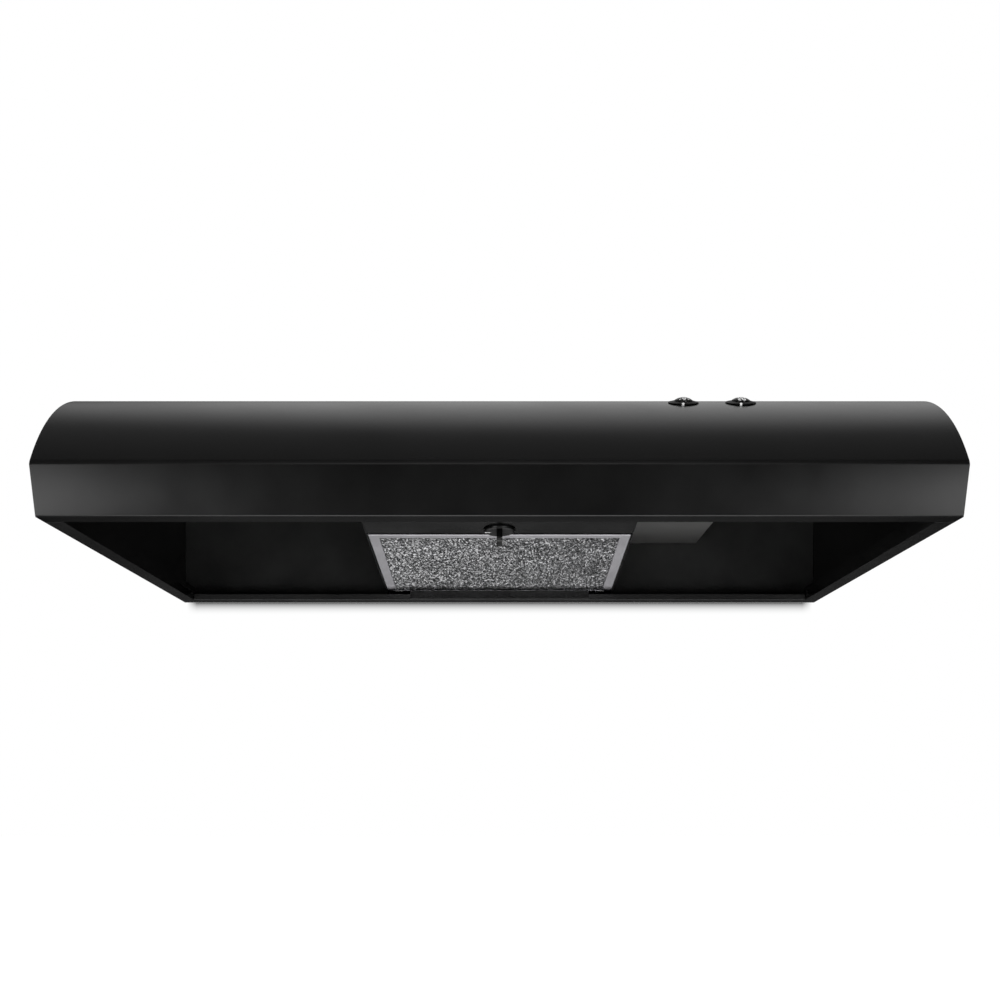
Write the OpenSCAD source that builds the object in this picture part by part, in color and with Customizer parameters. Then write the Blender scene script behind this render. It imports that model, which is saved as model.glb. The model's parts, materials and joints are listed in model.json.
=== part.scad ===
// Under cabinet range hood with a curved front, a centrifugal blower, a grease filter and a lamp.
// X runs across the hood, Y = 0 is the wall and -Y is the front, Z = 0 is the underside of the cabinet.

/* [Hood shell] */
// Width of the hood, side to side
hood_w = 760; // [740:5:914]
// Depth of the hood, wall to front lip
hood_d = 505; // [500:1:515]
// Height of the hood, cabinet face to bottom edge
hood_h = 133; // [131:1:138]
// Thickness of the shell's sheet steel
sheet = 1; // [0.8:0.1:1]
// Radius of the curved front
front_r = 203.2; // [200:0.1:206]
// Height of the straight front band
fascia_h = 40; // [38:1:44]
// How far the bottom of the front band leans back
fascia_lean = 13.5; // [10:0.5:15]
// Width of the flange along the bottom of the front
front_flange = 23; // [18:1:26]
// Width of the flange along the bottom of each side
side_flange = 16; // [12:1:20]
// Height of the lip turned up along each side flange
side_lip = 15; // [10:1:18]
// Width of the flange along the bottom of the back
rear_flange = 25; // [22:1:26]
// Height of the lip turned up along the back flange
rear_lip = 6.5; // [5:0.5:7]
// Sideways distance between the cabinet screw holes
screw_span_x = 660; // [600:10:680]
// Front to back distance between the cabinet screw holes
screw_span_y = 230; // [200:5:240]
// Radius of the cabinet screw holes
screw_hole_r = 2.75; // [2.5:0.05:3]
// Radius of the hole where the house wiring comes in
inlet_r = 11.1; // [10.8:0.1:11.4]

/* [Filter and latch] */
// Width of the grease filter
filter_w = 265.8; // [264:0.2:266.2]
// Length of the filter, front to back along its slope
filter_l = 240; // [238:1:241]
// Thickness of the filter
filter_t = 9.5; // [8:0.5:10]
// Width of the filter's aluminium rim
filter_rim = 11; // [9:1:14]
// Slope of the filter, falling towards the wall, in degrees
filter_slope = 5.33; // [5:0.01:6]
// Radius of the latch's round base
latch_r = 15.8; // [15:0.1:16]
// Distance from the latch's pivot to the middle of its base
latch_offset = 9; // [7:0.5:10]
// Height of the latch's finger grip
latch_grip_h = 11.5; // [8:0.5:14]

/* [Blower] */
// Radius of the blower wheel
wheel_r = 80; // [76:1:81]
// Height of the blower wheel's blades
blade_h = 60; // [50:1:60]
// Number of blades on the wheel
blade_count = 36; // [24:1:40]
// Radius of the air inlet
inlet_mouth_r = 60; // [56:1:60]
// Radius of the motor's can
motor_r = 43; // [38:1:44]
// Radius of the motor shaft
shaft_r = 4; // [3:0.5:4]

/* [Duct and damper] */
// Width of the duct connector
duct_w = 254; // [250:1:254]
// Depth of the duct connector, front to back
duct_d = 83; // [80:1:84]
// Height of the duct connector above the hood
duct_h = 38; // [34:1:50]
// Radius of the damper's rod
damper_rod_r = 1.5; // [1.2:0.1:1.5]

/* [Lamp] */
// Width of the lamp and wiring housings
lamp_w = 101; // [99:1:104]
// Radius of the bulb's glass
bulb_r = 24; // [22:1:24]

/* [Controls] */
// Distance from the middle of the hood to the lamp knob
light_knob_x = 161.2; // [158:0.2:164]
// Distance from the middle of the hood to the fan knob
fan_knob_x = 211.5; // [208:0.5:214]
// Slope of the hood's front under the knobs, in degrees
knob_slope = 24; // [22:0.5:25]
// Radius of the bezel round each knob
bezel_r = 13.5; // [12:0.1:14]
// Radius of each knob
knob_r = 7.7; // [7:0.1:8]

/* [Hidden] */
$fn = 64;

// Hood profile
lip_z = fascia_h - hood_h;
arc_z = -front_r;
arc_y = sqrt(pow(front_r, 2) - pow(lip_z - arc_z, 2)) - hood_d;
inner_x = hood_w / 2 - sheet;
bottom_z = -hood_h;
corner_gap = 0.5;
screw_clear_r = 1.8;
hem_h = 6;
screw_back = 45;
seam_y = -330;
lap = 10;
inlet_x = 200;
inlet_y = -285;
lip_corner_r = 6;
lip_end_y = -14;

// Blower box, an open-bottomed box in the middle of the hood
box_x = 134.5;
box_front_y = -318;
box_in_x = box_x - sheet;
tab = 12;
tab_t = 1;
tab_inset = 6;
tab_front_y = box_front_y + sheet + tab_inset;
tab_back_y = -sheet - tab_inset;
slope_y = -21;
slope_z = bottom_z + 10.6;
filter_gap = 6;
filter_front = -231.5;
filter_back = filter_front + filter_l;
strip_front = -297;
strip_face = strip_front + 1.5;
strip_screw_x = 90;
strip_screw_z = 7;
pivot_back = -5.5;
latch_y = filter_front - 21;
latch_stud_r = 2.5;

// Blower
blower_y = -200;
plate_z = -80;
plenum_y = -108;
scroll_t = 0.8;
tongue_angle = 60;
tongue_r = 86;
scroll_end_r = 128;
hub_z = -16;
wheel_t = 1;
wheel_hub_r = 8;
dish_rim_r = 62;
dish_r = 49;
dish_z = -52;
motor_top_z = -8;
motor_end_z = -46;
bracket_z = -2.6;
shaft_in_motor = 22;
hub_h = 10;
bolt_ring_r = 35;
bolt_r = 2;

// Duct connector
duct_y = -58;
duct_t = 0.8;
duct_flange = 5.5;
damper_y = duct_y + duct_d / 2 - 5;
damper_z = 14;
damper_t = 0.8;

// Lamp and wiring housings, end to end beside the blower box
lamp_x0 = 137;
lamp_x1 = lamp_x0 + lamp_w;
case_t = 0.8;
lamp_front_y = -233;
lamp_back_y = -3;
lamp_z = -60;
wiring_front_y = -445;
wiring_back_y = -234;
wiring_z = -76;
lens_pivot_x = 141;
lens_pivot_z = lamp_z - 1.2;
lens_t = 1.6;
lens_pin_r = 1.5;
bulb_x = (lamp_x0 + lamp_x1) / 2;
bulb_z = -30;
base_r = 13.2;
cable_r = 2.5;
cable_z = -7;
cable_y = -250;
lamp_cable_x = 215;
lamp_cable_z = -30;
grommet_r = 5;
wiring_screw_inset = 8;
ground_y = -300;
ground_z = -30;
capacitor_r = 16;
capacitor_l = 58;
capacitor_x = 160;
capacitor_y = -300;
capacitor_z = wiring_z + 18;
connector_y = -335;
connector_z = -60;

// Controls
bushing_r = 4.7;
knob_shaft_r = 3;
switch_size = [28, 30, 18];

// Running clearance between a turning part and its bore
run = 0.05;
// Clearance between parts that only sit together
fit = 0.1;

black = "#1a1a1c";
steel = "#b4b6ba";
bright = "#d2d4d6";
white = "#efeee9";
rubber = "#26262a";

// Sweeps a side view, drawn as [Y, Z], across the hood from x0 to x1
module across(x0, x1) {
  translate([x0, 0, 0])
    rotate([90, 0, 90])
      linear_extrude(x1 - x0)
        children();
}

// A block given by its lowest and highest corners
module block(low, high) {
  translate(low)
    cube(high - low);
}

// A ring standing on the XY plane
module ring(r, bore, h) {
  difference() {
    cylinder(r = r, h = h);
    translate([0, 0, -1])
      cylinder(r = bore, h = h + 2);
  }
}

// A pan head screw pointing up, the underside of its head at the origin
module screw(r, length, head_r = 3.6, head_h = 2.2) {
  cylinder(r = r, h = length);
  difference() {
    translate([0, 0, -head_h])
      cylinder(r = head_r, h = head_h);
    for (turn = [0, 90])
      rotate([0, 0, turn])
        translate([-2.2, -0.5, -head_h - 1])
          cube([4.4, 1, 2]);
  }
}

// Places its children at the four corners of a rectangle
module at_corners(x0, x1, y0, y1) {
  for (x = [x0, x1])
    for (y = [y0, y1])
      translate([x, y, 0])
        children();
}

// A round cable that follows straight runs between its points
module cable(points, r) {
  for (i = [1 : len(points) - 1]) {
    run_vector = points[i] - points[i - 1];
    length = norm(run_vector);
    translate(points[i - 1])
      rotate([0, acos(run_vector[2] / length), atan2(run_vector[1], run_vector[0])])
        cylinder(r = r, h = length);
  }
  if (len(points) > 2)
    for (i = [1 : len(points) - 2])
      translate(points[i])
        sphere(r = r);
}

// Y of the front band's outer face at height z
function fascia_y(z) = -hood_d + (lip_z - z) * fascia_lean / fascia_h;

// Z of the sloping filter plane at depth y
function filter_z(y) = slope_z + (slope_y - y) * tan(filter_slope);

// Side view of the hood, drawn inwards by inset and cut off at back_y and low_z
module hood_outline(inset, back_y, low_z) {
  shift = inset / cos(atan(fascia_lean / fascia_h));
  intersection() {
    union() {
      translate([arc_y, arc_z])
        circle(r = front_r - inset);
      translate([arc_y, low_z])
        square([back_y - arc_y, -inset - low_z]);
    }
    polygon([
      [fascia_y(0) + shift, 0],
      [fascia_y(low_z) + shift, low_z],
      [back_y, low_z],
      [back_y, 0]
    ]);
  }
}

// Moves its children to the sloping plane of the filter's underside
module on_slope() {
  translate([0, slope_y, slope_z])
    rotate([-filter_slope, 0, 0])
      children();
}

// Moves its children to a knob's place on the curved front
module at_knob(x) {
  translate([x, arc_y, arc_z])
    rotate([knob_slope, 0, 0])
      translate([0, 0, front_r])
        children();
}

// Moves its children to one of the two knobs' places, square to the curved front
module at_knobs() {
  for (x = [light_knob_x, fan_knob_x])
    at_knob(x)
      children();
}

// ---- Shell ----

// Flat top sheet, with the duct opening and the holes for screws and house wiring
module canopy_top() {
  color(black)
    difference() {
      block([-hood_w / 2, seam_y, -sheet], [hood_w / 2, 0, 0]);
      block(
        [-duct_w / 2 - corner_gap, duct_y - duct_d / 2 - corner_gap, -2],
        [duct_w / 2 + corner_gap, duct_y + duct_d / 2 + corner_gap, 1]
      );
      for (side = [-1, 1])
        for (y = [0, -screw_span_y])
          translate([side * screw_span_x / 2, y - screw_back, -2])
            cylinder(r = screw_hole_r, h = 3);
      translate([inlet_x, inlet_y, -2])
        cylinder(r = inlet_r, h = 3);
      at_corners(-duct_w / 2 + 30, duct_w / 2 - 30, connector_screw_y(-1), connector_screw_y(1))
        translate([0, 0, -2])
          cylinder(r = screw_clear_r, h = 3);
    }
}

// Curved front, straight band, bottom flange and hem in one bent sheet, with a lap under the top sheet
module canopy_front() {
  flange_y = fascia_y(bottom_z);
  color(black)
    difference() {
      union() {
        across(-hood_w / 2, hood_w / 2)
          intersection() {
            difference() {
              hood_outline(0, 0, bottom_z);
              hood_outline(sheet, 1, bottom_z - 1);
            }
            translate([-hood_d - 10, bottom_z - 10])
              square([hood_d + 10 + seam_y, hood_h + 20]);
          }
        across(-inner_x, inner_x) {
          translate([flange_y + sheet / 2, bottom_z])
            square([front_flange - sheet / 2, sheet]);
          translate([flange_y + front_flange - sheet, bottom_z])
            square([sheet, hem_h]);
        }
        for (ends = [[-inner_x, lamp_x0 - 2], [lamp_x1 + 2, inner_x]]) {
          block([ends[0], seam_y - 2, -2 * sheet], [ends[1], seam_y, -sheet / 2]);
          block([ends[0], seam_y - 2, -2 * sheet], [ends[1], seam_y + lap, -sheet]);
        }
      }
      at_knobs()
        translate([0, 0, -5])
          cylinder(r = bushing_r + fit, h = 10);
    }
}

function connector_screw_y(side) = duct_y + side * (duct_d / 2 + 3.2);

// Upturned lip along a side flange, seen from the side, with a rounded rear corner and a slot
module side_lip_outline(front_y, slot_length, slot_height) {
  slot_back = 29;
  difference() {
    union() {
      translate([front_y, bottom_z])
        square([lip_end_y - lip_corner_r - front_y, side_lip]);
      translate([front_y, bottom_z])
        square([lip_end_y - front_y, side_lip - lip_corner_r]);
      translate([lip_end_y - lip_corner_r, bottom_z + side_lip - lip_corner_r])
        circle(r = lip_corner_r);
    }
    translate([-slot_back - slot_length, bottom_z + 7 - slot_height / 2])
      square([slot_length, slot_height]);
  }
}

// The right-hand side panel: the side itself, its bottom flange and the flange's lip
module side_panel(slot_length, slot_height) {
  flange_x = hood_w / 2 - side_flange;
  flange_front = fascia_y(bottom_z) + front_flange + corner_gap;
  across(inner_x, hood_w / 2)
    hood_outline(sheet, 0, bottom_z);
  block([flange_x, flange_front, bottom_z], [inner_x + sheet / 2, -sheet, bottom_z + sheet]);
  across(flange_x, flange_x + sheet)
    side_lip_outline(flange_front, slot_length, slot_height);
}

module side_panel_left() {
  color(black)
    mirror([1, 0, 0])
      side_panel(78, 4);
}

module side_panel_right() {
  color(black)
    side_panel(19, 6);
}

module rear_panel() {
  flange_x = hood_w / 2 - side_flange - corner_gap;
  color(black) {
    block([-inner_x, -sheet, bottom_z], [inner_x, 0, -sheet]);
    block([-flange_x, -rear_flange, bottom_z], [flange_x, -sheet / 2, bottom_z + sheet]);
    block([-flange_x, -rear_flange, bottom_z], [flange_x, -rear_flange + sheet, bottom_z + rear_lip]);
  }
}

// ---- Blower box and filter ----

module blower_box() {
  color(black)
    difference() {
      union() {
        for (x = [-box_x, box_in_x])
          across(x, x + sheet)
            polygon([
              [box_front_y, -sheet],
              [-sheet, -sheet],
              [-sheet, filter_z(-sheet)],
              [box_front_y, filter_z(box_front_y)]
            ]);
        block(
          [-box_in_x, box_front_y, filter_z(box_front_y) + sheet],
          [box_in_x, box_front_y + sheet, -sheet]
        );
        for (x = [-1, 1])
          for (y = [tab_front_y, tab_back_y])
            translate([x * (box_in_x - tab_inset) - tab / 2, y - tab / 2, plate_z])
              cube([tab, tab, tab_t]);
      }
      at_corners(tab_inset - box_in_x, box_in_x - tab_inset, tab_front_y, tab_back_y)
        translate([0, 0, plate_z - 1])
          cylinder(r = screw_clear_r, h = 3);
      translate([box_in_x - 1, cable_y, cable_z])
        rotate([0, 90, 0])
          cylinder(r = grommet_r, h = 4);
    }
}

// The black strip in front of the filter, in the filter's plane, which carries the latch
module latch_strip() {
  back = filter_front - filter_gap;
  front = strip_face;
  half = box_in_x - fit;
  color(black)
    on_slope()
      difference() {
        union() {
          block([-half, front, 0], [half, back, sheet]);
          block([-half, back - sheet, 0], [half, back, 9]);
          block([-half, front, 0], [half, front + sheet, 10]);
        }
        translate([-latch_offset, latch_y, -1])
          cylinder(r = latch_stud_r + run, h = 4);
        for (x = [-strip_screw_x, strip_screw_x])
          translate([x, front - 2, strip_screw_z])
            rotate([-90, 0, 0])
              cylinder(r = screw_clear_r, h = 6);
      }
}

// Screws that hold the latch strip to the front wall of the box
module strip_screws() {
  color(steel)
    on_slope()
      for (x = [-strip_screw_x, strip_screw_x])
        translate([x, strip_face + sheet, strip_screw_z])
          rotate([90, 0, 0])
            screw(1.7, 1.3);
}

// The support under the filter's rear edge, standing against the lip of the back flange
module filter_ledge() {
  half = 106;
  back_y = -12;
  drop = 0.15;
  web_y = -rear_flange - sheet;
  color(black) {
    across(-half, half)
      polygon([
        [web_y, bottom_z + sheet],
        [-rear_flange, bottom_z + sheet],
        [-rear_flange, filter_z(-rear_flange) - sheet - drop],
        [back_y, filter_z(back_y) - sheet - drop],
        [back_y, filter_z(back_y) - drop],
        [web_y, filter_z(web_y) - drop]
      ]);
  }
}

// Leaf springs at the filter's rear corners, bent from the back flange's lip to below and behind the filter
module filter_springs() {
  width = 9;
  leaf = 0.7;
  low = -0.9;
  high = 11.1;
  bend_y = 9.8;
  color(bright)
    for (x = [-119.5, 119.5])
      on_slope()
        translate([x - width / 2, 0, 0]) {
          block([0, pivot_back + 0.5, low], [width, bend_y + leaf, low + leaf]);
          block([0, bend_y, low], [width, bend_y + leaf, high]);
          block([0, bend_y, high - leaf], [width, bend_y + width, high]);
        }
}

module filter_frame() {
  half = filter_w / 2;
  skin = 0.8;
  color(bright)
    on_slope()
      difference() {
        block([-half, filter_front, 0], [half, filter_back, filter_t]);
        block([skin - half, filter_front + skin, skin], [half - skin, filter_back - skin, filter_t - skin]);
        block(
          [filter_rim - half, filter_front + filter_rim, -1],
          [half - filter_rim, filter_back - filter_rim, filter_t + 1]
        );
      }
}

// Layers of expanded aluminium mesh, each drawn as a thin sheet
module filter_mesh() {
  half = filter_w / 2;
  inset = 0.8 + fit;
  layers = 5;
  layer_t = 0.25;
  pitch = (filter_t - 2 * inset - layer_t) / (layers - 1);
  color("#8f9296")
    on_slope()
      for (i = [0 : layers - 1])
        translate([0, 0, inset + i * pitch])
          block([inset - half, filter_front + inset, 0], [half - inset, filter_back - inset, layer_t]);
}

// Turn button: a round base with a finger grip, on a stud that is off its middle
module filter_latch() {
  base_low = -3.6;
  base_top = -0.5;
  color(black)
    on_slope()
      translate([0, latch_y, 0]) {
        rotate_extrude()
          polygon([
            [0, base_low],
            [latch_r - 2.4, base_low],
            [latch_r - 0.6, base_low + 1],
            [latch_r, base_low + 2.2],
            [latch_r, base_top],
            [0, base_top]
          ]);
        translate([0, 0, base_low])
          mirror([0, 0, 1])
            latch_grip();
        translate([-latch_offset, 0, base_top])
          cylinder(r = 5, h = -0.02 - base_top);
        translate([-latch_offset, 0, base_top])
          cylinder(r = latch_stud_r, h = 5.5);
      }
}

// Finger grip of the latch, standing up from the origin with its two upper corners rounded
module latch_grip() {
  length = 27;
  width = 5.6;
  corner = 5;
  translate([-width / 2, 0, 0])
    rotate([90, 0, 90])
      linear_extrude(width) {
        translate([-length / 2, -0.5])
          square([length, latch_grip_h - corner + 0.5]);
        translate([corner - length / 2, 0])
          square([length - 2 * corner, latch_grip_h]);
        for (end = [-1, 1])
          translate([end * (length / 2 - corner), latch_grip_h - corner])
            circle(r = corner);
      }
}

module latch_washer() {
  color(steel)
    on_slope()
      translate([-latch_offset, latch_y, sheet])
        ring(5.5, latch_stud_r + fit, 0.8);
}

module latch_push_nut() {
  color(steel)
    on_slope()
      translate([-latch_offset, latch_y, sheet + 0.85])
        ring(4.6, latch_stud_r, 0.8);
}

// ---- Blower ----

module orifice_plate() {
  half = box_in_x - fit;
  color("#a9acb0")
    difference() {
      union() {
        difference() {
          block([-half, box_front_y + sheet + fit, plate_z - sheet], [half, -sheet - fit, plate_z]);
          translate([0, blower_y, plate_z - 2])
            cylinder(r = inlet_mouth_r + 7, h = 3);
        }
        translate([0, blower_y, 0])
          rotate_extrude()
            polygon([
              [inlet_mouth_r + 8, plate_z - sheet],
              [inlet_mouth_r + 8, plate_z],
              [inlet_mouth_r + 5.5, plate_z],
              [inlet_mouth_r + 1, plate_z + 4.5],
              [inlet_mouth_r + 1, plate_z + 8],
              [inlet_mouth_r, plate_z + 8],
              [inlet_mouth_r, plate_z + 4],
              [inlet_mouth_r + 5, plate_z - sheet]
            ]);
      }
      at_corners(tab_inset - box_in_x, box_in_x - tab_inset, tab_front_y, tab_back_y)
        translate([0, 0, plate_z - 2])
          cylinder(r = screw_clear_r, h = 3);
    }
}

module orifice_screws() {
  color(steel)
    at_corners(tab_inset - box_in_x, box_in_x - tab_inset, tab_front_y, tab_back_y)
      translate([0, 0, plate_z - sheet])
        screw(1.7, 8);
}

// Distance of the scroll's inner face from the wheel's axis at an angle past the tongue
function scroll_r(angle) =
  tongue_r + (scroll_end_r - tongue_r) * (angle - tongue_angle) / (360 - tongue_angle);

function scroll_point(angle, offset) =
  [(scroll_r(angle) + offset) * cos(angle), blower_y + (scroll_r(angle) + offset) * sin(angle)];

// The spiral wall round the wheel
module scroll_housing() {
  step = 10;
  color("#a9acb0")
    difference() {
      translate([0, 0, plate_z])
        linear_extrude(-sheet - plate_z)
          polygon(concat(
            [for (a = [tongue_angle : step : 360]) scroll_point(a, 0)],
            [for (a = [360 : -step : tongue_angle]) scroll_point(a, scroll_t)]
          ));
      translate([wheel_r, cable_y, cable_z])
        rotate([0, 90, 0])
          cylinder(r = 4, h = box_x - wheel_r);
    }
}

// The walls that carry on from the spiral and divide it from the discharge chamber
module chamber_walls() {
  chamber_x = box_in_x - fit;
  straight_y = blower_y + 0.2;
  color("#a9acb0") {
    block([scroll_end_r, straight_y, plate_z], [scroll_end_r + scroll_t, plenum_y + scroll_t, -sheet]);
    block([scroll_end_r, plenum_y, plate_z], [chamber_x, plenum_y + scroll_t, -sheet]);
    block([-chamber_x, plenum_y, plate_z], [-scroll_t, plenum_y + scroll_t, -sheet]);
  }
}

// Plate under the cabinet face that the motor hangs from
module motor_bracket() {
  color(steel)
    translate([0, blower_y, bracket_z])
      difference() {
        cylinder(r = 50, h = -sheet - bracket_z);
        at_motor_bolts()
          translate([0, 0, -1])
            cylinder(r = bolt_r + run, h = 4);
      }
}

// Moves its children to the three motor bolts, round the wheel's axis
module at_motor_bolts() {
  for (turn = [90, 210, 330])
    rotate([0, 0, turn])
      translate([bolt_ring_r, 0, 0])
        children();
}

module motor_grommets() {
  color(rubber)
    translate([0, blower_y, motor_top_z])
      at_motor_bolts()
        ring(6, bolt_r + fit, bracket_z - motor_top_z);
}

module motor_body() {
  can_h = motor_top_z - motor_end_z;
  corner = 3;
  cap_h = 14;
  waist_r = motor_r - 1.2;
  color("#8d8f93")
    translate([0, blower_y, motor_end_z])
      difference() {
        rotate_extrude()
          polygon([
            [0, 0],
            [motor_r - corner, 0],
            [motor_r, corner],
            [motor_r, cap_h],
            [waist_r, cap_h],
            [waist_r, can_h - cap_h],
            [motor_r, can_h - cap_h],
            [motor_r, can_h - corner],
            [motor_r - corner, can_h],
            [0, can_h]
          ]);
        at_motor_bolts()
          translate([0, 0, -1])
            cylinder(r = bolt_r + fit, h = can_h + 2);
        translate([0, 0, -1])
          cylinder(r = shaft_r + run, h = shaft_in_motor + 5);
      }
}

// Long bolts from the motor's lower end, through it and its grommets, into the bracket
module motor_bolts() {
  color(steel)
    translate([0, blower_y, motor_end_z])
      at_motor_bolts()
        screw(bolt_r, -sheet - 0.2 - motor_end_z, 3.4, 2);
}

module motor_shaft() {
  color(bright)
    translate([0, blower_y, dish_z - 18])
      cylinder(r = shaft_r, h = motor_end_z + shaft_in_motor - dish_z + 18);
}

// Dish that carries the wheel round the motor
module wheel_dish() {
  color("#77797d")
    translate([0, blower_y, 0]) {
      translate([0, 0, hub_z])
        ring(dish_rim_r, dish_r - wheel_t, wheel_t);
      translate([0, 0, dish_z])
        ring(dish_r, dish_r - wheel_t, hub_z - dish_z + wheel_t / 2);
      translate([0, 0, dish_z - wheel_t])
        ring(dish_r, wheel_hub_r, wheel_t);
    }
}

// Hub that the dish is pressed onto
module wheel_hub() {
  color("#77797d")
    translate([0, blower_y, dish_z - hub_h])
      ring(wheel_hub_r, shaft_r, hub_h);
}

module blower_wheel() {
  blade_l = 16;
  blade_lean = 25;
  wall = wheel_t;
  eye_r = wheel_r - blade_l;
  low_z = hub_z - blade_h;
  color("#77797d")
    translate([0, blower_y, 0]) {
      translate([0, 0, low_z - wall])
        ring(wheel_r, eye_r, wall);
      translate([0, 0, hub_z])
        ring(wheel_r, dish_rim_r, wall);
      for (i = [0 : blade_count - 1])
        rotate([0, 0, i * 360 / blade_count])
          translate([eye_r + 0.6, 0, low_z - wall / 2])
            rotate([0, 0, -blade_lean])
              translate([0, -wall / 2, 0])
                cube([blade_l - 1.6, wall, blade_h + wall]);
    }
}

module wheel_nut() {
  nut_h = 5;
  color(steel)
    translate([0, blower_y, dish_z - hub_h - nut_h])
      difference() {
        cylinder(r = 7, h = nut_h, $fn = 6);
        translate([0, 0, -1])
          cylinder(r = shaft_r, h = nut_h + 2);
      }
}

// ---- Duct connector and damper ----

module duct_outline(grow) {
  translate([-duct_w / 2 - grow, duct_y - duct_d / 2 - grow])
    square([duct_w + 2 * grow, duct_d + 2 * grow]);
}

// Collar through the hood's top, its flange held against the underside of the top
module duct_connector() {
  color(steel)
    difference() {
      union() {
        translate([0, 0, -2 * sheet])
          linear_extrude(duct_h + 2 * sheet)
            duct_outline(0);
        translate([0, 0, -2 * sheet])
          linear_extrude(sheet)
            duct_outline(duct_flange);
      }
      translate([0, 0, -3 * sheet])
        linear_extrude(duct_h + 4 * sheet)
          duct_outline(-duct_t);
      translate([-duct_w, damper_y, damper_z])
        rotate([0, 90, 0])
          cylinder(r = damper_rod_r + run, h = 2 * duct_w);
      at_corners(-duct_w / 2 + 30, duct_w / 2 - 30, connector_screw_y(-1), connector_screw_y(1))
        translate([0, 0, -3])
          cylinder(r = screw_clear_r, h = 4);
    }
}

module connector_screws() {
  color(steel)
    at_corners(-duct_w / 2 + 30, duct_w / 2 - 30, connector_screw_y(-1), connector_screw_y(1))
      translate([0, 0, -2 * sheet])
        screw(1.7, 1.8 * sheet, 2.2, 1.6);
}

// Foam strip inside the collar that the closed damper rests on
module duct_seal() {
  low = 8;
  color(rubber)
    translate([0, 0, low])
      linear_extrude(damper_z - damper_rest_drop() - low)
        translate([duct_t + fit - duct_w / 2, duct_y + duct_t + fit - duct_d / 2])
          square([duct_w - 2 * (duct_t + fit), 4]);
}

// How far below the rod's axis the closed damper's underside lies
function damper_rest_drop() = damper_rod_r + 1.2 + 0.05;

// Plate that hangs forward from a curl round its rod and closes the duct
module damper_flap() {
  half = duct_w / 2 - duct_t - 1.2;
  curl_r = damper_rod_r + 1.2;
  front = duct_y - duct_d / 2 + duct_t + 1;
  color(bright)
    difference() {
      union() {
        block([-half, front, damper_z - curl_r], [half, damper_y, damper_z - curl_r + damper_t]);
        block([-half, front, damper_z - curl_r], [half, front + damper_t, damper_z + 2]);
        translate([-half, damper_y, damper_z])
          rotate([0, 90, 0])
            cylinder(r = curl_r, h = 2 * half);
      }
      translate([-duct_w, damper_y, damper_z])
        rotate([0, 90, 0])
          cylinder(r = damper_rod_r, h = 2 * duct_w);
    }
}

module damper_rod() {
  color(steel)
    translate([-duct_w / 2 - 5, damper_y, damper_z])
      rotate([0, 90, 0])
        cylinder(r = damper_rod_r, h = duct_w + 10);
}

// Push-on caps that keep the rod in the collar
module damper_rod_caps() {
  color(rubber)
    for (side = [-1, 1])
      translate([side * (duct_w / 2 + 3) - 1.5, damper_y, damper_z])
        rotate([0, 90, 0])
          ring(3.5, damper_rod_r, 3);
}

// ---- Lamp ----

module lamp_housing() {
  ear_r = 4;
  color(black)
    difference() {
      union() {
        difference() {
          block([lamp_x0, lamp_front_y, lamp_z], [lamp_x1, lamp_back_y, -sheet]);
          block(
            [lamp_x0 + case_t, lamp_front_y + case_t, lamp_z - 1],
            [lamp_x1 - case_t, lamp_back_y - case_t, -sheet - case_t]
          );
        }
        for (y = [lamp_front_y, lamp_back_y - case_t])
          translate([lens_pivot_x, y, lens_pivot_z])
            rotate([-90, 0, 0])
              cylinder(r = ear_r, h = case_t);
        for (y = [lamp_front_y, lamp_back_y - case_t])
          block([lens_pivot_x - ear_r, y, lens_pivot_z], [lens_pivot_x + ear_r, y + case_t, lamp_z + 2]);
      }
      translate([lens_pivot_x, lamp_front_y - 1, lens_pivot_z])
        rotate([-90, 0, 0])
          cylinder(r = lens_pin_r + run, h = lamp_back_y - lamp_front_y + 2);
      translate([lamp_cable_x, lamp_front_y - 1, lamp_cable_z])
        rotate([-90, 0, 0])
          cylinder(r = grommet_r, h = 4);
      for (x = [bulb_x - 18, bulb_x + 18])
        translate([x, lamp_front_y + 12, -5])
          cylinder(r = screw_clear_r, h = 4.5);
    }
}

// Bright sheet over the bulb, bent into a shallow trough
module lamp_reflector() {
  x0 = lamp_x0 + case_t + 1;
  x1 = lamp_x1 - case_t - 1;
  top = -sheet - case_t - 0.2;
  t = 0.5;
  low = lamp_z + 22;
  color(bright)
    translate([0, lamp_back_y - 4, 0])
      rotate([90, 0, 0])
        linear_extrude(lamp_back_y - lamp_front_y - 52)
          polygon([
            [x0, low],
            [x0 + 12, top],
            [x1 - 12, top],
            [x1, low],
            [x1 - t, low],
            [x1 - 12 - t, top - t],
            [x0 + 12 + t, top - t],
            [x0 + t, low]
          ]);
}

// Angle bracket hung from the housing's top that carries the lamp socket
module socket_bracket() {
  y = lamp_front_y + 6;
  top = -sheet - case_t;
  color(steel)
    difference() {
      union() {
        block([bulb_x - 24, y, top - 1.2], [bulb_x + 24, y + 14, top]);
        block([bulb_x - 24, y, bulb_z - 21], [bulb_x + 24, y + 1.2, top]);
      }
      for (x = [bulb_x - 18, bulb_x + 18])
        translate([x, lamp_front_y + 12, top - 3])
          cylinder(r = screw_clear_r, h = 4);
    }
}

module bracket_screws() {
  color(steel)
    for (x = [bulb_x - 18, bulb_x + 18])
      translate([x, lamp_front_y + 12, -sheet - case_t - 1.2])
        screw(1.7, 1.8);
}

module lamp_socket() {
  y = lamp_front_y + 7.2;
  color(white)
    translate([bulb_x, y, bulb_z])
      rotate([-90, 0, 0])
        difference() {
          rotate_extrude()
            polygon([[0, 0], [16, 0], [16, 5], [19, 8], [19, 34], [0, 34]]);
          translate([0, 0, 9])
            cylinder(r = base_r + 0.4, h = 30);
        }
}

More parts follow.
